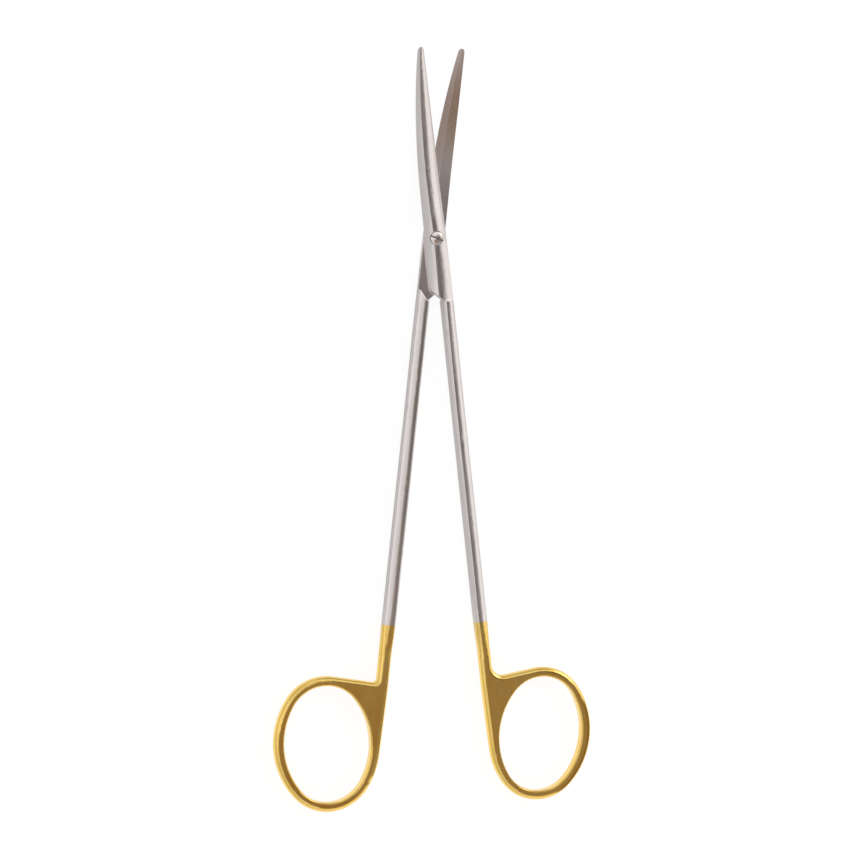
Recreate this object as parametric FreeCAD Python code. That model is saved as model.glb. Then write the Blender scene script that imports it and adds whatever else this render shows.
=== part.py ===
import FreeCAD, Part
import math
import os

V = FreeCAD.Vector

# Curved dissecting scissors, millimetres. The origin is on the pivot axis, in the plane where the two
# flat lock faces meet. +Y runs to the tips, +X to the right, +Z towards the side that the tips curve to.
# Each half is drawn closed, with its outer side up: v runs along it, positive towards the tip, and u runs
# across it, positive towards its own shank. At the end it is turned over if it is the rear one, and
# swung open to the rest angle. A "drop" is a distance from the pivot towards the rings.

# How the two halves lie together
REST_ANGLE = 6.0
SHEAR_GAP = 0.08

# Lock, the flat plate round the pivot
LOCK_SPINE = 2.42
LOCK_OUTER = 2.70
LOCK_THICKNESS = 2.25
LOCK_RIDGE = 0.92
LOCK_LAND = 0.50
LOCK_FLANK = 1.00

# Blade
BLADE_LENGTH = 44.1
STRAIGHT_REACH = 10.0
BEND_RADIUS = 110.0
EDGE_AT_LOCK = 2.60
EDGE_AT_TIP = 0.22
SPINE_AT_TIP = 1.12
TIP_THICKNESS = 0.80
EDGE_WIDTH = 0.18
EDGE_FALL = 2.2
SPINE_FALL = 3.3
THICKNESS_FALL = 1.3
RIDGE_SHARE = 0.25
LAND_SHARE = 0.06
FLANK_SHARE = 0.45
RIDGE_BLEND_SHARE = 0.30
FLANK_BLEND_SHARE = 0.25
BLADE_STATIONS = (0.0, 0.2, 0.4, 0.6, 0.78, 0.92, 1.0)

# Hard insert brazed along the cutting edge
INSERT_SHARE = 0.42
INSERT_THICKNESS = 0.50
INSERT_START = 5.5

# Shoulder, where the lock steps up to the full depth of the shank
SHOULDER_DROP = 14.8
SHOULDER_ANGLE = 45.0
SHOULDER_CLEARANCE = 0.20
SHOULDER_CHAMFER = 0.28
LOCK_CORNER_RADIUS = 0.9
CORNER_OVERHANG = 0.03
SHOULDER_THICKNESS = 1.90

# Shank
SHANK_OFFSET = 0.05
STEM_OFFSET = 0.42
SHANK_START_WIDTH = 2.75
SHANK_END_WIDTH = 3.00
SHANK_WIDENING = 0.7
SHANK_OUTER_HEIGHT = 1.50
SHANK_INNER_DEPTH = 1.40
SHANK_RIDGE = 0.65
SHANK_LAND = 0.25
SHANK_BEVEL_DROP = 0.50
SHANK_FLANK = 0.62
SHANK_SETTLE = 22.0
INNER_SIDE_FALL = 0.20
INNER_CROWN = 0.085
INNER_CORNER_RADIUS = 0.30
OUTER_CORNER_RADIUS = 0.45
CORNER_CROWN = 0.12
BEVEL_CROWN = 0.03

# Finger ring
RING_U = 13.80
RING_DROP = 120.0
RING_OPENING_HALF_WIDTH = 10.4
RING_OPENING_HALF_HEIGHT = 13.75
RING_END_RADIUS = 8.9
RING_TILT = 11.0
RIM_WIDTH = 2.40
RIM_END_WIDTH = 2.20
RING_THICKNESS = 2.60
RIM_ROUND = 1.12
OPENING_CHAMFER = 0.28
FLANK_RISE = 14.0
FLANK_BLEND_RADIUS = 30.0
WEB_RISE = 15.1
FRONT_WEB_RADIUS = 2.8
REAR_WEB_RADIUS = 0.9
STEM_RISE = 20.0
STEM_BLEND = 10.0

# Pivot screw
HEAD_DIAMETER = 3.10
HEAD_CLEARANCE = 0.10
HEAD_SEAT = 1.25
HEAD_RIM = 2.05
HEAD_DOME = 0.22
HEAD_CHAMFER = 0.12
SEAT_GAP = 0.02
PIN_DIAMETER = 2.00
PIN_CLEARANCE = 0.03
THREAD_CLEARANCE = 0.01
PIN_END_SHORT = 0.15
SLOT_WIDTH = 0.42
SLOT_DEPTH = 0.45
SLOT_ANGLE = -20.0

# Working values
FLANK_END_DROP = RING_DROP - FLANK_RISE
WEB_TOP_DROP = RING_DROP - WEB_RISE
STEM_END = RING_DROP - STEM_RISE
STEM_START = STEM_END - STEM_BLEND
QUARTER_CROWN = math.tan(math.pi / 8.0) / 2.0
FULL_TURN = 2.0 * math.pi
REACH = 200.0
DEEP = 12.0
MARGIN = 1.0
TOUCH = 0.01
Z_AXIS = V(0, 0, 1)
ORIGIN = V(0, 0, 0)


def mix(a, b, t):
    """The value a share t of the way from a to b."""
    return a + (b - a) * t


def share(value, start, end):
    """How far value lies from start to end, held between 0 and 1."""
    return min(1.0, max(0.0, (value - start) / (end - start)))


def eased(value, start, end):
    """The same share, but leaving and arriving gently."""
    t = share(value, start, end)
    return t * t * (3.0 - 2.0 * t)


def rise(reach):
    """Height of the shear surface at a distance from the pivot: flat first, then a circular arc."""
    past = max(0.0, reach - STRAIGHT_REACH)
    return BEND_RADIUS - math.sqrt(BEND_RADIUS ** 2 - past ** 2)


def crowned(start, end, crown):
    """An arc from start to end that bulges to the right of its direction by a share of its length."""
    if crown == 0.0:
        return Part.makeLine(start, end)
    chord = end - start
    side = V(chord.z, 0, -chord.x)
    return Part.Arc(start, (start + end) * 0.5 + side * crown, end).toShape()


def section(v, outside, inside):
    """One closed cross-section of a half, at v along it.
    outside holds the places that shape the outer side, and inside those of the inner side."""
    z, left, right, ridge, land, top, left_flank, right_flank, bevel_crown = outside
    low, fall, crown, left_radius, right_radius, corner_crown = inside
    a = V(left + left_radius, v, z - low)
    b = V(right - right_radius, v, z - low + fall)
    c = V(right, v, z - low + fall + right_radius)
    d = V(right, v, z + right_flank)
    e = V(land, v, z + top)
    f = V(ridge, v, z + top)
    g = V(left, v, z + left_flank)
    h = V(left, v, z - low + left_radius)
    # The long round side leaves the land without a crease, so its bulge follows from its slope.
    slope = math.atan2(e.z - d.z, d.x - e.x)
    edges = [
        crowned(a, b, crown),
        crowned(b, c, corner_crown),
        Part.makeLine(c, d),
        crowned(d, e, math.tan(slope / 2.0) / 2.0),
        Part.makeLine(e, f),
        crowned(f, g, bevel_crown),
        Part.makeLine(g, h),
        crowned(h, a, corner_crown),
    ]
    return Part.Wire(edges)


def blade_edges(v):
    """Where the spine and the cutting edge lie at v, as the two sides of the blade's plan."""
    t = max(0.0, v / BLADE_LENGTH)
    spine = mix(LOCK_SPINE, SPINE_AT_TIP, t ** SPINE_FALL)
    edge = mix(EDGE_AT_LOCK, EDGE_AT_TIP, t ** EDGE_FALL)
    if v < 0.0:
        halfway = SHOULDER_DROP / 2.0
        edge = mix(EDGE_AT_LOCK, LOCK_OUTER, share(-v, 0.0, halfway))
        edge = mix(edge, SHANK_OFFSET + SHANK_START_WIDTH, share(-v, halfway, SHOULDER_DROP))
    return spine, edge


def blade_section(v, bend):
    """The section of the lock and the blade: flat bevel to a crisp ridge, narrow land, long round side.
    Its inner side reaches past the shear plane, and is ground off later."""
    t = max(0.0, v / BLADE_LENGTH)
    spine, edge = blade_edges(v)
    width = spine + edge
    top = mix(LOCK_THICKNESS, TIP_THICKNESS, t ** THICKNESS_FALL)
    if v < 0.0:
        top = mix(LOCK_THICKNESS, SHOULDER_THICKNESS, -v / SHOULDER_DROP)
    to_blade = share(t, 0.0, RIDGE_BLEND_SHARE)
    ridge = mix(-LOCK_RIDGE, RIDGE_SHARE * width - spine, to_blade)
    land = ridge + mix(LOCK_LAND, LAND_SHARE * width, to_blade)
    right_flank = mix(LOCK_FLANK, EDGE_WIDTH, share(t, 0.0, FLANK_BLEND_SHARE))
    z = bend * rise(v)
    low = SHANK_INNER_DEPTH / 2.0
    outside = (z, -spine, edge, ridge, land, top, FLANK_SHARE * top, right_flank, BEVEL_CROWN)
    inside = (low, 0.0, 0.0, INNER_CORNER_RADIUS, OUTER_CORNER_RADIUS, CORNER_CROWN)
    return section(v, outside, inside)


def shank_section(v):
    """The section of the shank. It starts as the lock's and ends as the rounded bar of the ring's stem."""
    drop = -v
    along = share(drop, SHOULDER_DROP, STEM_END)
    settled = share(drop, SHOULDER_DROP, SHOULDER_DROP + SHANK_SETTLE)
    stem = eased(drop, STEM_START, STEM_END)
    half = RING_THICKNESS / 2.0
    left = mix(SHANK_OFFSET, STEM_OFFSET, along)
    right = left + mix(SHANK_START_WIDTH, SHANK_END_WIDTH, along ** SHANK_WIDENING)
    top = mix(mix(SHOULDER_THICKNESS, SHANK_OUTER_HEIGHT, settled), half, stem)
    ridge = left + mix(SHANK_RIDGE, RIM_ROUND, stem)
    land = mix(left + SHANK_RIDGE + SHANK_LAND, right - RIM_ROUND, stem)
    left_flank = top - mix(SHANK_BEVEL_DROP, RIM_ROUND, stem)
    right_flank = mix(mix(LOCK_FLANK, SHANK_FLANK, settled), half - RIM_ROUND, stem)
    bevel_crown = mix(BEVEL_CROWN, QUARTER_CROWN, stem)
    outside = (0.0, left, right, ridge, land, top, left_flank, right_flank, bevel_crown)
    inside = (
        mix(SHANK_INNER_DEPTH, half, stem),
        mix(INNER_SIDE_FALL, 0.0, stem),
        mix(INNER_CROWN, 0.0, stem),
        mix(INNER_CORNER_RADIUS, RIM_ROUND, stem),
        mix(OUTER_CORNER_RADIUS, RIM_ROUND, stem),
        mix(CORNER_CROWN, QUARTER_CROWN, stem),
    )
    return section(v, outside, inside)


def prism(points, low, high):
    """A vertical block on a closed outline of (u, v) points."""
    wire = Part.makePolygon([V(u, v, low) for u, v in points + points[:1]])
    return Part.Face(wire).extrude(V(0, 0, high - low))


def blade_stations():
    """Places along the lock and blade where a section is drawn, closer together near the tip."""
    return [-SHOULDER_DROP, -SHOULDER_DROP / 2.0] + [BLADE_LENGTH * s for s in BLADE_STATIONS]


def shank_stations():
    """Places along the shank where a section is drawn."""
    plain_end = SHOULDER_DROP + SHANK_SETTLE
    drops = [mix(SHOULDER_DROP, plain_end, s) for s in (0.0, 0.3, 0.65, 1.0)]
    drops += [mix(plain_end, STEM_START, s) for s in (0.5, 0.9)]
    drops += [mix(STEM_START, STEM_END, s) for s in (0.0, 0.33, 0.67, 1.0)]
    return [-drop for drop in drops]


def below_shear_surface(bend, lift):
    """All the space on the inner side of the shear surface, a solid turned about the pivot axis.
    Because it is turned about the pivot, two such surfaces slide past each other at any angle."""
    far = BLADE_LENGTH + STRAIGHT_REACH
    middle = (STRAIGHT_REACH + far) / 2.0
    start = V(STRAIGHT_REACH, 0, lift)
    halfway = V(middle, 0, bend * rise(middle) + lift)
    end = V(far, 0, bend * rise(far) + lift)
    floor = -DEEP - rise(far)
    outline = Part.Wire([
        Part.makeLine(V(0, 0, lift), start),
        Part.Arc(start, halfway, end).toShape(),
        Part.makeLine(end, V(far, 0, floor)),
        Part.makeLine(V(far, 0, floor), V(0, 0, floor)),
        Part.makeLine(V(0, 0, floor), V(0, 0, lift)),
    ])
    return Part.Face(outline).revolve(ORIGIN, Z_AXIS, 360)


def ahead_of_shoulder():
    """The block of space on the blade's side of the slanted shoulder."""
    climb = math.tan(math.radians(SHOULDER_ANGLE))
    wide = BLADE_LENGTH
    return prism(
        [
            (SHANK_OFFSET - wide, -SHOULDER_DROP),
            (SHANK_OFFSET, -SHOULDER_DROP),
            (SHANK_OFFSET + wide, -SHOULDER_DROP + wide * climb),
            (SHANK_OFFSET + wide, REACH),
            (SHANK_OFFSET - wide, REACH),
        ],
        -REACH,
        REACH,
    )


def heel():
    """The shank's deep inner part, carried on past the start of the lock for the shoulder to be cut in."""
    reach = SHANK_START_WIDTH * math.tan(math.radians(SHOULDER_ANGLE)) + MARGIN
    start = -SHOULDER_DROP
    drift = blade_edges(start + reach)[1] - blade_edges(start)[1]
    bar = Part.Face(shank_section(start)).extrude(V(drift, reach, 0))
    inner_half = Part.makeBox(2.0 * DEEP, REACH, DEEP, V(-DEEP, -REACH, -DEEP))
    return bar.common(inner_half)


def shoulder_chamfer():
    """A three-sided bar that bevels the shoulder's edge on the inner side."""
    angle = math.radians(SHOULDER_ANGLE)
    foot = V(SHANK_OFFSET, -SHOULDER_DROP, -SHANK_INNER_DEPTH)
    along = V(math.cos(angle), math.sin(angle), 0)
    into = V(math.sin(angle), -math.cos(angle), 0)
    corners = [
        foot - into * MARGIN + Z_AXIS * (SHOULDER_CHAMFER + MARGIN),
        foot + into * (SHOULDER_CHAMFER + MARGIN) - Z_AXIS * MARGIN,
        foot - into * MARGIN - Z_AXIS * MARGIN,
    ]
    start = along * -DEEP
    wire = Part.makePolygon([corner + start for corner in corners + corners[:1]])
    return Part.Face(wire).extrude(along * (2.0 * DEEP))


def crotch_cut():
    """What is cut from the lock's spine side, so that it clears the other half's shoulder when closed."""
    slope = math.radians(SHOULDER_ANGLE)
    climb = math.tan(slope)
    # The round is laid out a hair outside the spine, so that it meets the spine's wall at a clear angle.
    spine_u = -LOCK_SPINE - CORNER_OVERHANG
    wide = LOCK_SPINE
    below = -SHOULDER_DROP - MARGIN
    foot = (SHANK_OFFSET, -SHOULDER_DROP + SHOULDER_CLEARANCE / math.cos(slope))
    corner = (spine_u, foot[1] + (foot[0] - spine_u) * climb)
    block = prism(
        [(spine_u - wide, corner[1] + wide * climb), foot, (SHANK_OFFSET, below), (spine_u - wide, below)],
        -DEEP,
        DEEP,
    )
    # The corner between the spine and this cut is rounded by a block with a round bite taken out.
    radius = LOCK_CORNER_RADIUS
    reach = radius * math.tan((math.pi / 2.0 - slope) / 2.0)
    centre = (spine_u + radius, corner[1] + reach)
    touch = (corner[0] + reach * math.cos(slope), corner[1] - reach * math.sin(slope))
    wedge = prism(
        [(spine_u - wide, centre[1]), centre, touch, corner, (spine_u - wide, corner[1])],
        -DEEP,
        DEEP,
    )
    bite = Part.makeCylinder(radius, 2.0 * DEEP, V(centre[0], centre[1], -DEEP))
    return block.fuse(wedge.cut(bite))


def tip_cut():
    """What is cut from the end of the blade to round it in plan."""
    spine, edge = blade_edges(BLADE_LENGTH)
    radius = (spine + edge) / 2.0
    middle = (edge - spine) / 2.0
    wide = 4.0 * radius
    foot = BLADE_LENGTH - radius
    block = prism(
        [
            (middle - wide, foot),
            (middle + wide, foot),
            (middle + wide, BLADE_LENGTH + wide),
            (middle - wide, BLADE_LENGTH + wide),
        ],
        -2.0 * DEEP,
        2.0 * DEEP,
    )
    round_end = Part.makeCylinder(radius, 4.0 * DEEP, V(middle, foot, -2.0 * DEEP))
    return block.cut(round_end)


def insert_space(bend):
    """The space that the hard insert takes, along the cutting edge on the inner side of the blade."""
    wires = []
    inner_stations = [v for v in blade_stations() if v > INSERT_START + MARGIN]
    for v in [INSERT_START] + inner_stations + [BLADE_LENGTH + MARGIN]:
        spine, edge = blade_edges(min(v, BLADE_LENGTH))
        z = bend * rise(v)
        inner_side = edge - INSERT_SHARE * (spine + edge)
        corners = [
            V(inner_side, v, z - MARGIN),
            V(edge + MARGIN, v, z - MARGIN),
            V(edge + MARGIN, v, z + INSERT_THICKNESS),
            V(inner_side, v, z + INSERT_THICKNESS),
        ]
        wires.append(Part.makePolygon(corners + corners[:1]))
    return Part.makeLoft(wires, True, False)


def ring_place():
    """Where an upright shape round the origin goes to lie as the ring does."""
    return FreeCAD.Placement(V(RING_U, -RING_DROP, 0), FreeCAD.Rotation(Z_AXIS, -RING_TILT))


def oval(half_width, half_height, end_radius):
    """The four arcs of an upright oval round the origin, anticlockwise from its right side.
    Each is a centre, a radius, and the directions at which the arc starts and ends."""
    squares = half_width ** 2 + half_height ** 2
    side_radius = (squares - 2.0 * half_height * end_radius) / (2.0 * (half_width - end_radius))
    across = side_radius - half_width
    along = half_height - end_radius
    turn = math.atan2(along, across)
    return [
        (V(-across, 0, 0), side_radius, -turn, turn),
        (V(0, along, 0), end_radius, turn, math.pi - turn),
        (V(across, 0, 0), side_radius, math.pi - turn, math.pi + turn),
        (V(0, -along, 0), end_radius, math.pi + turn, FULL_TURN - turn),
    ]


def oval_path(arcs, start, end):
    """The edges of an oval from one direction anticlockwise to another, laid where the ring lies."""
    place = ring_place()
    edges = []
    for lap in (0.0, FULL_TURN):
        for centre, radius, first, last in arcs:
            low = max(start, first + lap)
            high = min(end, last + lap)
            if high > low:
                spokes = [V(math.cos(a), math.sin(a), 0) for a in (low, (low + high) / 2.0, high)]
                points = [place.multVec(centre + spoke * radius) for spoke in spokes]
                edges.append(Part.Arc(*points).toShape())
    return edges


def oval_touch(arcs, point, side):
    """The direction at which a line from a point outside touches an oval: the touch that lies
    anticlockwise of the point where side is 1, and the other where it is -1."""
    outside = ring_place().inverse().multVec(point)
    for centre, radius, first, last in arcs:
        away = outside - centre
        spread = math.acos(min(1.0, radius / away.Length))
        direction = math.atan2(away.y, away.x) + side * spread
        direction = first + (direction - first) % FULL_TURN
        if direction <= last:
            return direction


def rounded_corner(before, corner, after, radius):
    """The arc that rounds a corner of an outline: its start, a point on it, and its end."""
    to_before = (before - corner).normalize()
    to_after = (after - corner).normalize()
    half = to_before.getAngle(to_after) / 2.0
    bisector = (to_before + to_after).normalize()
    centre = corner + bisector * (radius / math.sin(half))
    reach = radius / math.tan(half)
    return corner + to_before * reach, centre - bisector * radius, corner + to_after * reach


def ring_outline(web_radius):
    """The outside of the ring, its web and the stem that meets the shank, as one closed wire."""
    arcs = oval(
        RING_OPENING_HALF_WIDTH + RIM_WIDTH,
        RING_OPENING_HALF_HEIGHT + RIM_END_WIDTH,
        RING_END_RADIUS + RIM_END_WIDTH,
    )
    stem_left = V(STEM_OFFSET, -STEM_END, 0)
    stem_right = stem_left + V(SHANK_END_WIDTH, 0, 0)
    flank_end = V(stem_left.x, -FLANK_END_DROP, 0)
    web_corner = V(stem_right.x, -WEB_TOP_DROP, 0)
    flank_turn = oval_touch(arcs, flank_end, 1)
    web_turn = oval_touch(arcs, web_corner, -1) + FULL_TURN
    sweep = oval_path(arcs, flank_turn, web_turn)
    low_touch = sweep[0].Vertexes[0].Point
    top_touch = sweep[-1].Vertexes[-1].Point
    flank_arc = rounded_corner(stem_left, flank_end, low_touch, FLANK_BLEND_RADIUS)
    web_arc = rounded_corner(top_touch, web_corner, stem_right, web_radius)
    edges = [
        Part.makeLine(stem_left, flank_arc[0]),
        Part.Arc(*flank_arc).toShape(),
        Part.makeLine(flank_arc[2], low_touch),
        *sweep,
        Part.makeLine(top_touch, web_arc[0]),
        Part.Arc(*web_arc).toShape(),
        Part.makeLine(web_arc[2], stem_right),
        Part.makeLine(stem_right, stem_left),
    ]
    return Part.Wire(edges)


def upright(face, height):
    """A face carried up and down from its plane into a plate of that height."""
    plate = face.extrude(V(0, 0, height))
    plate.translate(V(0, 0, -height / 2.0))
    return plate


def level_edges(shape):
    """The edges of an upright plate that run round its top and bottom."""
    return [edge for edge in shape.Edges if edge.BoundBox.ZLength < TOUCH]


def ring(web_radius):
    """The finger ring with its web, a plate rounded outside and with a narrow bevel in the opening."""
    plate = upright(Part.Face(ring_outline(web_radius)), RING_THICKNESS)
    outside = [edge for edge in level_edges(plate) if edge.BoundBox.YMin < -STEM_END - TOUCH]
    plate = plate.makeFillet(RIM_ROUND, outside)
    arcs = oval(RING_OPENING_HALF_WIDTH, RING_OPENING_HALF_HEIGHT, RING_END_RADIUS)
    first = arcs[0][2]
    hole = Part.Face(Part.Wire(oval_path(arcs, first, first + FULL_TURN)))
    opening = upright(hole, RING_THICKNESS + 2.0 * MARGIN)
    plate = plate.cut(opening)
    reach = opening.BoundBox
    reach.enlarge(TOUCH)
    rim = [edge for edge in level_edges(plate) if reach.isInside(edge.BoundBox)]
    return plate.makeChamfer(OPENING_CHAMFER, rim)


def half_blank(bend, web_radius):
    """One half before its holes: blade and lock, shank, and finger ring, forged as one piece."""
    front = Part.makeLoft([blade_section(v, bend) for v in blade_stations()], True, False)
    shank = Part.makeLoft([shank_section(v) for v in shank_stations()], True, False)
    front = front.cut(tip_cut())
    front = front.cut(crotch_cut())
    inner_side = below_shear_surface(bend, SHEAR_GAP / 2.0).common(ahead_of_shoulder())
    blank = front.fuse([heel(), shank, ring(web_radius)]).removeSplitter()
    return blank.cut(inner_side).cut(shoulder_chamfer())


def screw_profile():
    """Half of the pivot screw's section, to turn about the pivot axis."""
    head = HEAD_DIAMETER / 2.0
    pin = PIN_DIAMETER / 2.0
    seat = HEAD_SEAT + SEAT_GAP
    end = -LOCK_THICKNESS + PIN_END_SHORT
    dome_edge = head - HEAD_CHAMFER
    dome_radius = (dome_edge ** 2 + HEAD_DOME ** 2) / (2.0 * HEAD_DOME)
    halfway = dome_edge / 2.0
    sink = dome_radius - math.sqrt(dome_radius ** 2 - halfway ** 2)
    crown = V(0, 0, HEAD_RIM + HEAD_DOME)
    corners = [
        V(dome_edge, 0, HEAD_RIM),
        V(head, 0, HEAD_RIM - HEAD_CHAMFER),
        V(head, 0, seat),
        V(pin, 0, seat),
        V(pin, 0, end + HEAD_CHAMFER),
        V(pin - HEAD_CHAMFER, 0, end),
        V(0, 0, end),
        crown,
    ]
    dome = Part.Arc(crown, V(halfway, 0, crown.z - sink), corners[0]).toShape()
    return Part.Wire([dome] + [Part.makeLine(a, b) for a, b in zip(corners, corners[1:])])


def pivot_screw():
    """The slotted screw that holds the halves: a low domed head, a plain pin and a threaded end."""
    body = Part.Face(screw_profile()).revolve(ORIGIN, Z_AXIS, 360)
    slot = Part.makeBox(2.0 * HEAD_DIAMETER, SLOT_WIDTH, DEEP)
    slot.translate(V(-HEAD_DIAMETER, -SLOT_WIDTH / 2.0, HEAD_RIM + HEAD_DOME - SLOT_DEPTH))
    slot.rotate(ORIGIN, Z_AXIS, SLOT_ANGLE)
    return body.cut(slot)


def front_holes():
    """The front half's pivot hole and the counterbore that the screw head sits in."""
    hole = Part.makeCylinder(PIN_DIAMETER / 2.0 + PIN_CLEARANCE, 2.0 * DEEP, V(0, 0, -DEEP))
    bore = Part.makeCylinder(HEAD_DIAMETER / 2.0 + HEAD_CLEARANCE, DEEP, V(0, 0, HEAD_SEAT))
    return hole.fuse(bore)


def rear_hole():
    """The rear half's tapped hole."""
    return Part.makeCylinder(PIN_DIAMETER / 2.0 + THREAD_CLEARANCE, 2.0 * DEEP, V(0, 0, -DEEP))


def split_insert(blank, bend):
    """Parts the hard insert from the blade that it is brazed to."""
    space = insert_space(bend)
    return blank.cut(space), blank.common(space)


def write(name, shape):
    """Writes a piece to its STEP file and tells how it came out."""
    solid = shape.Solids[0] if len(shape.Solids) == 1 else shape
    solid.exportStep(os.path.join("parts", name + ".step"))
    print(name, "volume", round(solid.Volume, 2), "valid", solid.isValid(), "solids", len(shape.Solids))


def main():
    os.makedirs("parts", exist_ok=True)
    front, front_insert = split_insert(half_blank(1.0, FRONT_WEB_RADIUS), 1.0)
    front = front.cut(front_holes())
    rear, rear_insert = split_insert(half_blank(-1.0, REAR_WEB_RADIUS), -1.0)
    rear = rear.cut(rear_hole())
    for piece in (rear, rear_insert):
        piece.rotate(ORIGIN, V(0, 1, 0), 180)
        piece.rotate(ORIGIN, Z_AXIS, -REST_ANGLE)
    for piece in (front, front_insert):
        piece.rotate(ORIGIN, Z_AXIS, REST_ANGLE)
    write("front_half", front)
    write("front_edge_insert", front_insert)
    write("rear_half", rear)
    write("rear_edge_insert", rear_insert)
    write("pivot_screw", pivot_screw())


main()
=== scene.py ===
# %% [markdown]
# # Curved dissecting scissors with gilt finger rings
# A pair of fine surgical scissors, seen from above on white. Two satin steel halves cross at a screw,
# their blades curve up towards the viewer, and the finger rings are plated with gold.
#
# The shapes of the halves come from the CAD frame and stay as they are. This lesson gives them their
# finishes, turns and slots the screw in mesh code, and lights them as a studio would. Everything is in
# metres, the pivot is at the origin, and the blades point along +Y.

# %% Load the frame
import math

import bmesh
import bpy
from mathutils import Matrix, Vector


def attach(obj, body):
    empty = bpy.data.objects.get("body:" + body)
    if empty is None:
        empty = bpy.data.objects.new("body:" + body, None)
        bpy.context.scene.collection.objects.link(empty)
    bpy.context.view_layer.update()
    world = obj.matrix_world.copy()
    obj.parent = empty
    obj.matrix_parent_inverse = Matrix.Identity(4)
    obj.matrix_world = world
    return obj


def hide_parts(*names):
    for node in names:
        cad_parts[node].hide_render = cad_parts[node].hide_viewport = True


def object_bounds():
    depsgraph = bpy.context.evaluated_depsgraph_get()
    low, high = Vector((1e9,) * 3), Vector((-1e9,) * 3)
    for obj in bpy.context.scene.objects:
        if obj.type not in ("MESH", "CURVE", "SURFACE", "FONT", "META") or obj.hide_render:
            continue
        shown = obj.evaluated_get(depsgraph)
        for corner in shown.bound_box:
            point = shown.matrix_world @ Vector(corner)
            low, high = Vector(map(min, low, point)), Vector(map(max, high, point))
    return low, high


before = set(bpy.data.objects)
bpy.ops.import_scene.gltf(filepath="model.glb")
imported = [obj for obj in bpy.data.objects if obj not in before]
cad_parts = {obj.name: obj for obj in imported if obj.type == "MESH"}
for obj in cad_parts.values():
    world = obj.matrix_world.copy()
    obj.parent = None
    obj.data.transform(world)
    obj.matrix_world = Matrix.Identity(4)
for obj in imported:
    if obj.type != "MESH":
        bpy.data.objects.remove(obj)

MM = 0.001
cad_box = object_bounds()
print("pieces of the frame:", ", ".join(sorted(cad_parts)))

# %% [markdown]
# ## Camera
# A long lens looks down on the scissors from nearly straight above, leaning about 17 degrees to the left.
# A camera can be turned with angles, but here its direction is given as a vector from the middle of the
# picture to the lens, because that is what a match to a photograph yields. A camera looks along its own
# -Z with +Y up in the picture, so two cross products turn that one vector into its three axes.

# %% Camera
picture_middle = Vector((-1.11, -44.9, 0.0)) * MM
lean_left, lean_up = math.radians(16.8), math.radians(2.41)
to_lens = Vector((-math.sin(lean_left), math.sin(lean_up), 0.0))
to_lens.z = math.sqrt(1.0 - to_lens.length_squared)
lens_distance = 564.6 * MM
film_width, focal_length = 36.0, 100.57

camera = bpy.data.objects.new("camera", bpy.data.cameras.new("camera"))
bpy.context.scene.collection.objects.link(camera)
camera.data.sensor_width = film_width
camera.data.lens = focal_length
tips_up = Vector((0.0, 1.0, 0.0))
to_right = tips_up.cross(to_lens).normalized()
axes = Matrix((to_right, to_lens.cross(to_right), to_lens)).transposed()
camera.location = picture_middle + to_lens * lens_distance
camera.rotation_euler = axes.to_euler()
camera.data.clip_start, camera.data.clip_end = 0.01, 10.0
bpy.context.scene.camera = camera
bpy.context.scene.view_settings.view_transform = "Standard"
print("camera at", [round(c, 4) for c in camera.location])

# %% [markdown]
# ## Shader sums in plain Python
# A finish is a network of nodes, and long networks are hard to read. The small class below wraps a socket
# so that `1 - mask * 0.5` adds the Math nodes by itself. `Nodes.add` makes every other node: its type, its
# settings, and then the values or links of its sockets.

# %% Helpers for node networks
class Value:
    """A number that a socket gives. Sums with it add Math nodes."""

    def __init__(self, nodes, socket):
        self.nodes = nodes
        self.socket = socket

    def sum(self, operation, *others):
        node = self.nodes.add("ShaderNodeMath", {"operation": operation})
        for slot, other in zip(node.inputs, (self, *others)):
            self.nodes.feed(slot, other)
        return Value(self.nodes, node.outputs[0])

    def __add__(self, other):
        return self.sum("ADD", other)

    def __mul__(self, other):
        return self.sum("MULTIPLY", other)

    def __sub__(self, other):
        return self.sum("SUBTRACT", other)

    def __rsub__(self, other):
        return (self * -1.0).sum("ADD", other)

    def __truediv__(self, other):
        return self.sum("DIVIDE", other)

    def __pow__(self, other):
        return self.sum("POWER", other)

    def __abs__(self):
        return self.sum("ABSOLUTE")

    __radd__ = __add__
    __rmul__ = __mul__

    def ramp(self, low, high):
        """0 below low, 1 above high, and a smooth step between them."""
        node = self.nodes.add(
            "ShaderNodeMapRange", {"interpolation_type": "SMOOTHSTEP"}, Value=self,
            **{"From Min": low, "From Max": high})
        return Value(self.nodes, node.outputs["Result"])


class Nodes:
    """A node tree under construction."""

    def __init__(self, tree):
        self.tree = tree
        tree.nodes.clear()

    def feed(self, slot, value):
        if isinstance(value, Value):
            value = value.socket
        if isinstance(value, bpy.types.NodeSocket):
            self.tree.links.new(value, slot)
        else:
            slot.default_value = value

    def add(self, kind, settings=None, **inputs):
        node = self.tree.nodes.new(kind)
        for name, value in (settings or {}).items():
            setattr(node, name, value)
        for name, value in inputs.items():
            self.feed(node.inputs[name], value)
        return node

    def number(self, kind, output, **inputs):
        return Value(self, self.add(kind, **inputs).outputs[output])

    def blend(self, share, first, second):
        """The colour first where share is 0, and second where it is 1."""
        node = self.add("ShaderNodeMix", {"data_type": "RGBA"}, Factor=share)
        self.feed(node.inputs[6], first)
        self.feed(node.inputs[7], second)
        return node.outputs[2]


def new_material(name):
    """A material, and its node tree with nothing in it yet."""
    material = bpy.data.materials.new(name)
    material.use_nodes = True
    return material, Nodes(material.node_tree)


def show(name, mesh):
    """Turns a finished bmesh into a piece of the picture."""
    data = bpy.data.meshes.new(name)
    mesh.to_mesh(data)
    mesh.free()
    piece = bpy.data.objects.new(name, data)
    bpy.context.scene.collection.objects.link(piece)
    return piece


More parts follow.
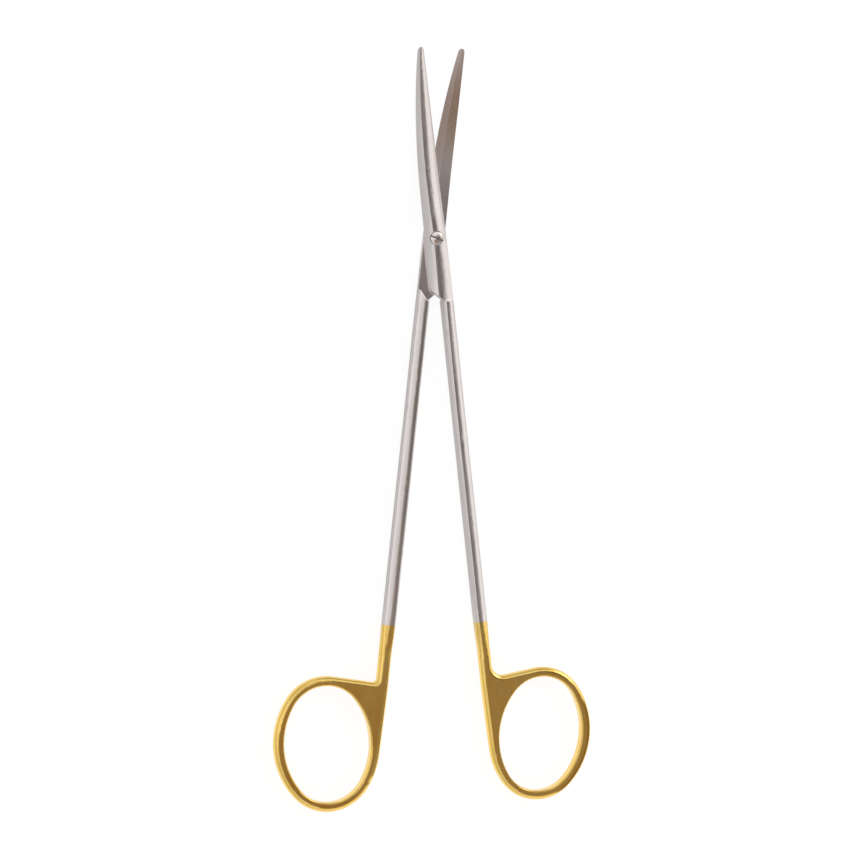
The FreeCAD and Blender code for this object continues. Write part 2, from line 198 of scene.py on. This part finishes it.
# %% [markdown]
# ## Light and ground
# Steel and gold show little but what they mirror, so the light decides how they look. The photograph was
# taken in a white tent with a darker patch overhead, to the right of the lens: faces that look up turn
# dark, and every bevel and flank that looks sideways turns bright. Lamps could do this, but each would show
# as its own hard shape. A sky painted by direction gives the same soft change with nothing to place: each
# patch is the share of a ray that runs along the patch's own direction, put through a smooth step.
#
# The camera itself sees a plain white sky and a white floor. The floor still takes a faint shadow: part of
# its white is its own glow, and the rest is light that the scissors can block. Upright sides mirror the
# floor. Beside the shanks it glows less for them, or they would come out as white as the paper, and by the
# rings it glows fully, because the insides of the rings are the brightest gold in the picture.
#
# The patches are listed by what mirrors them. The last one is a small bright window, far out to the right
# and beyond the tips: all it lights is the narrow bevel on the left shank's shoulder, a thin white line.

# %% Sky
TENT_LEFT, TENT_RIGHT = (0.60, 0.60, 0.60, 1.0), (1.04, 0.99, 0.97, 1.0)
WHITE = (1.0, 1.0, 1.0, 1.0)

world = bpy.data.worlds.new("studio")
bpy.context.scene.world = world
world.use_nodes = True
sky = Nodes(world.node_tree)
ray = sky.add("ShaderNodeTexCoord").outputs["Generated"]


def sky_patch(to_right, to_tips, inner, outer):
    """1 within the inner angle of a patch's middle, 0 beyond the outer. The middle leans by two angles."""
    middle = Vector((math.tan(math.radians(to_right)), math.tan(math.radians(to_tips)), 1.0)).normalized()
    along = sky.add("ShaderNodeVectorMath", {"operation": "DOT_PRODUCT"})
    sky.feed(along.inputs[0], ray)
    sky.feed(along.inputs[1], middle)
    return Value(sky, along.outputs["Value"]).ramp(math.cos(math.radians(outer)), math.cos(math.radians(inner)))


ray_right = Value(sky, sky.add("ShaderNodeSeparateXYZ", Vector=ray).outputs["X"])
tent = sky.blend(ray_right.ramp(-0.7, 0.7), TENT_LEFT, TENT_RIGHT)
patches = {
    "left bevels": (-36.0, 5.0, 4.0, 30.0, (1.05, 1.00, 1.03, 1.0)),
    "right bevels": (36.0, -14.0, 4.0, 26.0, (0.22, 0.205, 0.20, 1.0)),
    "inner face of the rear blade": (17.0, -21.0, 6.0, 20.0, (0.36, 0.29, 0.27, 1.0)),
    "webs of the rings": (9.0, -15.0, 5.0, 12.5, (0.20, 0.105, 0.03, 1.0)),
    "end of the front lock": (45.0, 72.0, 12.0, 24.0, (0.45, 0.43, 0.42, 1.0)),
    "crowns of the locks and shanks": (23.0, 7.5, 4.0, 18.5, (0.075, 0.058, 0.052, 1.0)),
    "shoulder of the rear half": (58.0, 48.0, 6.0, 15.0, (4.0, 3.9, 3.9, 1.0)),
}
for to_the_right, to_the_tips, inner, outer, tone in patches.values():
    tent = sky.blend(sky_patch(to_the_right, to_the_tips, inner, outer), tent, tone)
seen_by_lens = sky.add("ShaderNodeLightPath").outputs["Is Camera Ray"]
glow = sky.add("ShaderNodeBackground", Color=sky.blend(seen_by_lens, tent, WHITE))
sky.add("ShaderNodeOutputWorld", Surface=glow.outputs[0])
print("sky made of", len(world.node_tree.nodes), "nodes")

# %% Floor
floor_height = cad_box[0].z - 0.02 * MM
floor_reach = 1.5
lit_share = 0.22
paper_glow = 1.13
glow_by_shanks = 0.20
shanks_end, rings_start = 82.0 * MM, 106.0 * MM

floor_mesh = bmesh.new()
bmesh.ops.create_grid(floor_mesh, x_segments=1, y_segments=1, size=floor_reach)
bmesh.ops.translate(floor_mesh, verts=floor_mesh.verts, vec=(0.0, 0.0, floor_height))
floor = show("floor", floor_mesh)

paper, sheet = new_material("white paper")
matt = sheet.add("ShaderNodeBsdfDiffuse", Color=(0.85, 0.85, 0.85, 1.0))
shine = sheet.add("ShaderNodeEmission", Color=WHITE, Strength=paper_glow)
mixed = sheet.add("ShaderNodeMixShader", Fac=1.0 - lit_share)
sheet.feed(mixed.inputs[1], matt.outputs[0])
sheet.feed(mixed.inputs[2], shine.outputs[0])
spot = sheet.add("ShaderNodeSeparateXYZ", Vector=sheet.add("ShaderNodeTexCoord").outputs["Object"])
by_rings = (Value(sheet, spot.outputs["Y"]) * -1.0).ramp(shanks_end, rings_start)
mirrored_share = glow_by_shanks + by_rings * (1.0 - glow_by_shanks)
path = sheet.add("ShaderNodeLightPath")
seen = Value(sheet, path.outputs["Is Camera Ray"]) + Value(sheet, path.outputs["Is Transmission Ray"])
seen = seen + Value(sheet, path.outputs["Is Glossy Ray"]) * mirrored_share
chosen = sheet.add("ShaderNodeMixShader", Fac=seen)
sheet.feed(chosen.inputs[1], matt.outputs[0])
sheet.feed(chosen.inputs[2], mixed.outputs[0])
sheet.add("ShaderNodeOutputMaterial", Surface=chosen.outputs[0])
floor.data.materials.append(paper)
print("floor at", round(floor_height / MM, 2), "mm")

# %% [markdown]
# ### A brown card beside the rings
# Gold needs something dark to mirror, or it looks like yellow paint. A small card stands just outside the
# picture's right ring. Only mirrors see it: to the lens and to soft light it is as clear as air.

# %% Card
card_length, card_height = 56.0 * MM, 45.0 * MM
card_middle = (56.0 * MM, -137.0 * MM, floor_height + 23.0 * MM)
BROWN = (0.22, 0.15, 0.08, 1.0)

card_mesh = bmesh.new()
bmesh.ops.create_grid(card_mesh, x_segments=1, y_segments=1, size=0.5)
upright = Matrix.Rotation(math.pi / 2.0, 3, "Y")
bmesh.ops.rotate(card_mesh, verts=card_mesh.verts, cent=(0.0, 0.0, 0.0), matrix=upright)
bmesh.ops.scale(card_mesh, verts=card_mesh.verts, vec=(1.0, card_length, card_height))
bmesh.ops.translate(card_mesh, verts=card_mesh.verts, vec=card_middle)
card = show("card", card_mesh)

board, face = new_material("brown card")
only_mirrors = face.add("ShaderNodeMixShader", Fac=face.add("ShaderNodeLightPath").outputs["Is Glossy Ray"])
face.feed(only_mirrors.inputs[1], face.add("ShaderNodeBsdfTransparent").outputs[0])
face.feed(only_mirrors.inputs[2], face.add("ShaderNodeEmission", Color=BROWN).outputs[0])
face.add("ShaderNodeOutputMaterial", Surface=only_mirrors.outputs[0])
card.data.materials.append(board)
print("card at", [round(c / MM, 1) for c in card_middle], "mm")

# %% [markdown]
# ## Satin steel, and the gilding that covers its lower end
# The halves are forged from stainless steel and brushed with a fine belt, so their grain runs along the
# shank. The blades' inner faces are ground across. Handling has polished the long edges. Below a sharp
# line the steel is mirror polished and plated with gold.
#
# One material holds both metals, because plating is not a piece but a skin: a mask along the half's own
# length changes the colour and the roughness. The mask needs that length, so the coordinates are first
# turned by the angle at which the half lies.
#
# Edges are softened by the Bevel node, which bends the light and not the mesh: widely on the shanks and the
# lock, which hands have worn, and hardly at all on the blades, so that the inserts' seams stay quiet. The
# outer face runs from the lock into the shank, and the stem into the ring, without an edge, so the widest
# softening is there. The wheel doesn't reach the first of these corners, which stays matt. Where the two
# locks slide on each other, they have rubbed fine arcs about the screw.

# %% Steel and gold
rest_angle = math.radians(6.0)
gilding_starts, gilding_ragged, gilding_fade = -91.2 * MM, 0.12 * MM, 0.10 * MM
worn_edge, crisp_edge, stem_blend, lock_blend = 0.20 * MM, 0.05 * MM, 0.60 * MM, 0.40 * MM
fully_bent = 0.12
STEEL = (0.80, 0.765, 0.75, 1.0)
STEEL_WARM = (0.77, 0.72, 0.70, 1.0)
STEEL_COOL = (0.765, 0.745, 0.725, 1.0)
GOLD = (0.99, 0.71, 0.22, 1.0)
GOLD_DEEP = (0.96, 0.65, 0.16, 1.0)


def grain(nodes, place, across, along, detail=3.0):
    """Noise drawn out along the half: cells `across` wide and `along` long, from 0 to 1."""
    stretched = nodes.add(
        "ShaderNodeMapping", Vector=place,
        Scale=(1.0 / across, 1.0 / along, 1.0 / across))
    return nodes.number("ShaderNodeTexNoise", "Fac", Vector=stretched.outputs[0], Scale=1.0, Detail=detail)


def rounded_edges(nodes, radius):
    """The surface's direction with its edges softened, and how much each point is changed by that."""
    soft = nodes.add("ShaderNodeBevel", {"samples": 6}, Radius=radius).outputs["Normal"]
    true = nodes.add("ShaderNodeNewGeometry").outputs["Normal"]
    match = nodes.add("ShaderNodeVectorMath", {"operation": "DOT_PRODUCT"})
    nodes.feed(match.inputs[0], soft)
    nodes.feed(match.inputs[1], true)
    edge = (1.0 - Value(nodes, match.outputs["Value"])).ramp(0.0, fully_bent)
    return soft, edge


def half_finish(name, turn):
    """The skin of one half, which lies turned by that angle about the pivot."""
    material, nodes = new_material(name)
    here = nodes.add("ShaderNodeTexCoord").outputs["Object"]
    own = nodes.add("ShaderNodeMapping", Vector=here, Rotation=(0.0, 0.0, -turn)).outputs[0]
    axes = nodes.add("ShaderNodeSeparateXYZ", Vector=own)
    across, length = Value(nodes, axes.outputs["X"]), Value(nodes, axes.outputs["Y"])
    outward = Value(nodes, axes.outputs["Z"]) * math.copysign(1.0, turn)

    softened, edge = rounded_edges(nodes, worn_edge)
    on_blade = length.ramp(2.0 * MM, 6.0 * MM)
    stem_end = (1.0 - length.ramp(-121.0 * MM, -119.0 * MM)) * (1.0 - abs(across).ramp(5.0 * MM, 7.0 * MM))
    lock_end = length.ramp(-17.0 * MM, -15.8 * MM) * (1.0 - length.ramp(-14.8 * MM, -13.8 * MM))
    lock_end = lock_end * outward.ramp(0.3 * MM, 0.6 * MM)
    for place, radius in ((on_blade, crisp_edge), (stem_end, stem_blend), (lock_end, lock_blend)):
        other, turned = rounded_edges(nodes, radius)
        mixed = nodes.add("ShaderNodeMix", {"data_type": "VECTOR"}, Factor=place)
        nodes.feed(mixed.inputs[4], softened)
        nodes.feed(mixed.inputs[5], other)
        softened = mixed.outputs[1]

    ragged = grain(nodes, own, 0.25 * MM, 0.25 * MM) * gilding_ragged
    gilt = 1.0 - (length + ragged).ramp(gilding_starts, gilding_starts + gilding_fade)
    streaks = grain(nodes, own, 0.09 * MM, 2.5 * MM)
    cloud = grain(nodes, own, 1.6 * MM, 5.0 * MM, detail=2.0)
    steel = nodes.blend(cloud.ramp(0.35, 0.65), STEEL_WARM, STEEL_COOL)
    steel = nodes.blend(streaks.ramp(0.3, 0.75), steel, STEEL)
    gold = nodes.blend(cloud.ramp(0.3, 0.7), GOLD_DEEP, GOLD)
    colour = nodes.blend(gilt, steel, gold)

    matt_corner = lock_end * turned
    steel_rough = 0.17 + streaks * 0.10 - edge * 0.06 + matt_corner * 0.40
    gold_rough = 0.17 + cloud * 0.05
    rough = steel_rough + gilt * (gold_rough - steel_rough)

    swing = nodes.add("ShaderNodeCombineXYZ")
    nodes.feed(swing.inputs[0], (across * across + length * length) ** 0.5 / (0.09 * MM))
    arcs = nodes.number("ShaderNodeTexNoise", "Fac", Vector=swing.outputs[0], Scale=1.0, Detail=2.0)
    rubbed = 1.0 - abs(outward).ramp(0.10 * MM, 0.20 * MM)
    rubbed = rubbed * length.ramp(-15.5 * MM, -14.0 * MM) * (1.0 - gilt)
    scratch = (streaks - 0.5) * (1.0 - gilt * 0.9) + (arcs - 0.5) * rubbed * 1.6
    relief = nodes.add(
        "ShaderNodeBump", Strength=0.30, Distance=0.004 * MM, Height=scratch, Normal=softened)
    skin = nodes.add(
        "ShaderNodeBsdfPrincipled", Metallic=1.0, Roughness=rough, Normal=relief.outputs[0],
        **{"Base Color": colour})
    nodes.add("ShaderNodeOutputMaterial", Surface=skin.outputs[0])
    return material


def dress(node_name, material):
    """Gives a CAD piece its finish, in every slot that it has."""
    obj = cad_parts[node_name]
    obj.data.materials.clear()
    obj.data.materials.append(material)


dress("front_half", half_finish("front steel and gold", rest_angle))
dress("rear_half", half_finish("rear steel and gold", -rest_angle))
print("gilding starts", round(gilding_starts / MM, 1), "mm below the pivot")

# %% [markdown]
# ## Hard inserts
# The strips along the cutting edges are a hard sintered alloy, brazed in and ground flush. They look a
# little darker and greyer than the steel, and their grinding marks run across the blade.

# %% Insert finish
INSERT_GREY = (0.77, 0.72, 0.70, 1.0)
INSERT_PALE = (0.80, 0.75, 0.73, 1.0)


def insert_finish():
    """Ground alloy, with its marks across the blade."""
    material, nodes = new_material("hard insert")
    here = nodes.add("ShaderNodeTexCoord").outputs["Object"]
    marks = grain(nodes, here, 1.2 * MM, 0.05 * MM)
    colour = nodes.blend(marks.ramp(0.3, 0.7), INSERT_GREY, INSERT_PALE)
    relief = nodes.add("ShaderNodeBump", Strength=0.3, Distance=0.003 * MM, Height=marks)
    skin = nodes.add(
        "ShaderNodeBsdfPrincipled", Metallic=1.0, Roughness=0.24 + marks * 0.08,
        Normal=relief.outputs[0], **{"Base Color": colour})
    nodes.add("ShaderNodeOutputMaterial", Surface=skin.outputs[0])
    return material


hard = insert_finish()
dress("front_edge_insert", hard)
dress("rear_edge_insert", hard)

# %% [markdown]
# ## Pivot screw
# The screw was turned on a lathe and then slotted, so here it is made in the same order. Its profile is a
# chain of points from the middle of the domed head out to the rim, in under the head, down the plain pin
# and the threaded end to the middle again, and one full spin turns it into a closed skin. A dome drawn with
# many short chords on a real circle takes the light as one smooth bulge.
#
# The slot is not cut with a boolean. Two planes on either side of the slot's line split the head's skin, the
# faces between them go, and new walls and a floor close the gap. That keeps the edges of the slot in hand,
# so that one small bevel can round them as a polishing wheel does.
#
# The thread is a groove with a steady lead. Each point of its profile is lowered by its share of a turn, so
# a ring of points becomes a helix. The groove fades in below the head and ends at a plain neck.

# %% Pivot screw
head_radius, head_rim, head_dome, head_chamfer = 1.55 * MM, 2.05 * MM, 0.22 * MM, 0.14 * MM
pin_radius, head_seat, pin_end = 1.00 * MM, 1.27 * MM, -2.10 * MM
seat_break = 0.05 * MM
slot_half_width, slot_floor, slot_break = 0.21 * MM, 1.82 * MM, 0.03 * MM
slot_angle = math.radians(-20.0)
thread_pitch, thread_depth, thread_top = 0.40 * MM, 0.14 * MM, -0.25 * MM
thread_run_in, crest_share = 0.3 * MM, 0.12
end_neck_length, end_neck_depth = 0.12 * MM, 0.10 * MM
turn_steps, dome_chords, thread_rows = 128, 14, 56
hard_angle, smooth_angle = math.radians(50.0), math.radians(35.0)


def dome_points(count):
    """Points on the domed top, from its middle to where the chamfer starts."""
    reach = head_radius - head_chamfer
    bulge = (reach ** 2 + head_dome ** 2) / (2.0 * head_dome)
    widest = math.asin(reach / bulge)
    for i in range(count + 1):
        angle = widest * i / count
        yield bulge * math.sin(angle), head_rim + head_dome - bulge * (1.0 - math.cos(angle))


def thread_radius(z, turn):
    """How far out the pin's skin lies at a height, on the side that faces a given turn."""
    if z > thread_top:
        return pin_radius
    if z < pin_end + end_neck_length:
        return pin_radius - end_neck_depth
    phase = (z / thread_pitch + turn / math.tau) % 1.0
    groove = 1.0 - abs(2.0 * phase - 1.0)
    fade = min(1.0, (thread_top - z) / thread_run_in)
    return pin_radius - thread_depth * max(0.0, groove - crest_share) * fade


def screw_profile():
    """Points from the middle of the head, round its rim and down the pin, to the middle of its end."""
    yield from dome_points(dome_chords)
    for angle in (30.0, 60.0, 90.0):
        lean = math.radians(angle)
        out = head_radius - head_chamfer * (1.0 - math.sin(lean))
        yield out, head_rim - head_chamfer * (1.0 - math.cos(lean))
    yield head_radius, head_seat + seat_break
    yield head_radius - seat_break, head_seat
    yield pin_radius, head_seat
    for row in range(thread_rows + 1):
        yield pin_radius, thread_top + (pin_end - thread_top) * row / thread_rows
    yield 0.0, pin_end


def turned_screw():
    """The screw before its slot: the profile spun round the axis, then the thread pressed into it."""
    mesh = bmesh.new()
    chain = [mesh.verts.new((radius, 0.0, z)) for radius, z in screw_profile()]
    links = [mesh.edges.new(pair) for pair in zip(chain, chain[1:])]
    bmesh.ops.spin(
        mesh, geom=chain + links, cent=(0.0, 0.0, 0.0), axis=(0.0, 0.0, 1.0), dvec=(0.0, 0.0, 0.0),
        angle=math.tau, steps=turn_steps, use_merge=True, use_duplicate=False)
    bmesh.ops.remove_doubles(mesh, verts=mesh.verts, dist=1e-7)
    for vert in mesh.verts:
        radius = vert.co.xy.length
        if vert.co.z < thread_top + 1e-6 and radius > 0.5 * pin_radius:
            turn = math.atan2(vert.co.y, vert.co.x)
            vert.co.xy *= thread_radius(vert.co.z, turn) / radius
    bmesh.ops.recalc_face_normals(mesh, faces=mesh.faces)
    return mesh


def cut_slot(mesh):
    """Opens the driver's slot across the head, along the X axis, and gives it walls and a floor."""
    for side in (-1.0, 1.0):
        bmesh.ops.bisect_plane(
            mesh, geom=mesh.verts[:] + mesh.edges[:] + mesh.faces[:], dist=1e-8,
            plane_co=(0.0, side * slot_half_width, 0.0), plane_no=(0.0, 1.0, 0.0))
    bmesh.ops.bisect_plane(
        mesh, geom=mesh.verts[:] + mesh.edges[:] + mesh.faces[:], dist=1e-8,
        plane_co=(0.0, 0.0, slot_floor), plane_no=(0.0, 0.0, 1.0))
    within = []
    for face in mesh.faces:
        spot = face.calc_center_median()
        if spot.z > slot_floor and abs(spot.y) < slot_half_width:
            within.append(face)
    bmesh.ops.delete(mesh, geom=within, context="FACES")
    rim = [edge for edge in mesh.edges if edge.is_boundary]
    for side in (-1.0, 1.0):
        wall = [e for e in rim if all(abs(v.co.y - side * slot_half_width) < 1e-7 for v in e.verts)]
        ends = [v for e in wall for v in e.verts if abs(v.co.z - slot_floor) < 1e-7]
        low = [min(ends, key=lambda v: v.co.x), max(ends, key=lambda v: v.co.x)]
        wall.append(mesh.edges.new(low))
        bmesh.ops.contextual_create(mesh, geom=wall)
    bmesh.ops.contextual_create(mesh, geom=[edge for edge in mesh.edges if edge.is_boundary])
    bmesh.ops.recalc_face_normals(mesh, faces=mesh.faces)


screw_mesh = turned_screw()
cut_slot(screw_mesh)
sharp = [
    edge for edge in screw_mesh.edges
    if edge.is_manifold and edge.calc_face_angle() > hard_angle
    and all(abs(abs(v.co.y) - slot_half_width) < 1e-6 and v.co.z > slot_floor + 0.02 * MM for v in edge.verts)]
bmesh.ops.bevel(
    screw_mesh, geom=sharp, offset=slot_break, offset_type="OFFSET", segments=2, profile=0.5,
    affect="EDGES", material=-1, clamp_overlap=True)
slot_turn = Matrix.Rotation(slot_angle, 3, "Z")
bmesh.ops.rotate(screw_mesh, verts=screw_mesh.verts, cent=(0.0, 0.0, 0.0), matrix=slot_turn)
open_edges = sum(1 for edge in screw_mesh.edges if not edge.is_manifold)
for face in screw_mesh.faces:
    face.smooth = True
for edge in screw_mesh.edges:
    edge.smooth = edge.calc_face_angle(0.0) < smooth_angle
screw = show("slotted_screw", screw_mesh)
print("screw:", len(screw.data.polygons), "faces,", open_edges, "open edges")
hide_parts("pivot_screw")
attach(screw, "rear")

# %% [markdown]
# The head was faced and polished on the lathe, which leaves rings too fine to see one by one. They widen
# every glint across the radius, so the marks here are noise that only knows the distance from the axis.

# %% Screw finish
SCREW_STEEL = (0.88, 0.84, 0.82, 1.0)
# The dark tone for the ring round the rim of the head, and for the painted shade in the slot.
DARK_RIM_AND_SLOT_SHADE = (0.16, 0.13, 0.12, 1.0)


def screw_finish():
    """Bright turned steel, with painted shade in the slot and a darker ring round the rim of the head."""
    material, nodes = new_material("turned steel")
    here = nodes.add("ShaderNodeTexCoord").outputs["Object"]
    spot = nodes.add("ShaderNodeSeparateXYZ", Vector=here)
    x, y = Value(nodes, spot.outputs["X"]), Value(nodes, spot.outputs["Y"])
    radius = (x * x + y * y) ** 0.5
    rings = nodes.add("ShaderNodeCombineXYZ")
    nodes.feed(rings.inputs[0], radius / (0.05 * MM))
    marks = nodes.number("ShaderNodeTexNoise", "Fac", Vector=rings.outputs[0], Scale=1.0, Detail=2.0)
    off_slot = abs(y * math.cos(slot_angle) - x * math.sin(slot_angle))
    in_slot = 1.0 - off_slot.ramp(slot_half_width - 0.06 * MM, slot_half_width)
    # Painted shade darkens the slot's walls and floor, and the rim of the head is also made darker.
    rim_dark_and_slot_shade = radius.ramp(head_radius - 0.05 * MM, head_radius) * 0.6
    rim_dark_and_slot_shade = rim_dark_and_slot_shade + (1.0 - rim_dark_and_slot_shade) * in_slot * 0.45
    tone = nodes.blend(rim_dark_and_slot_shade, SCREW_STEEL, DARK_RIM_AND_SLOT_SHADE)
    relief = nodes.add("ShaderNodeBump", Strength=0.8, Distance=0.012 * MM, Height=marks)
    skin = nodes.add(
        "ShaderNodeBsdfPrincipled", Metallic=1.0, Roughness=0.12 + marks * 0.1,
        Normal=relief.outputs[0], **{"Base Color": tone})
    nodes.add("ShaderNodeOutputMaterial", Surface=skin.outputs[0])
    return material


screw.data.materials.append(screw_finish())
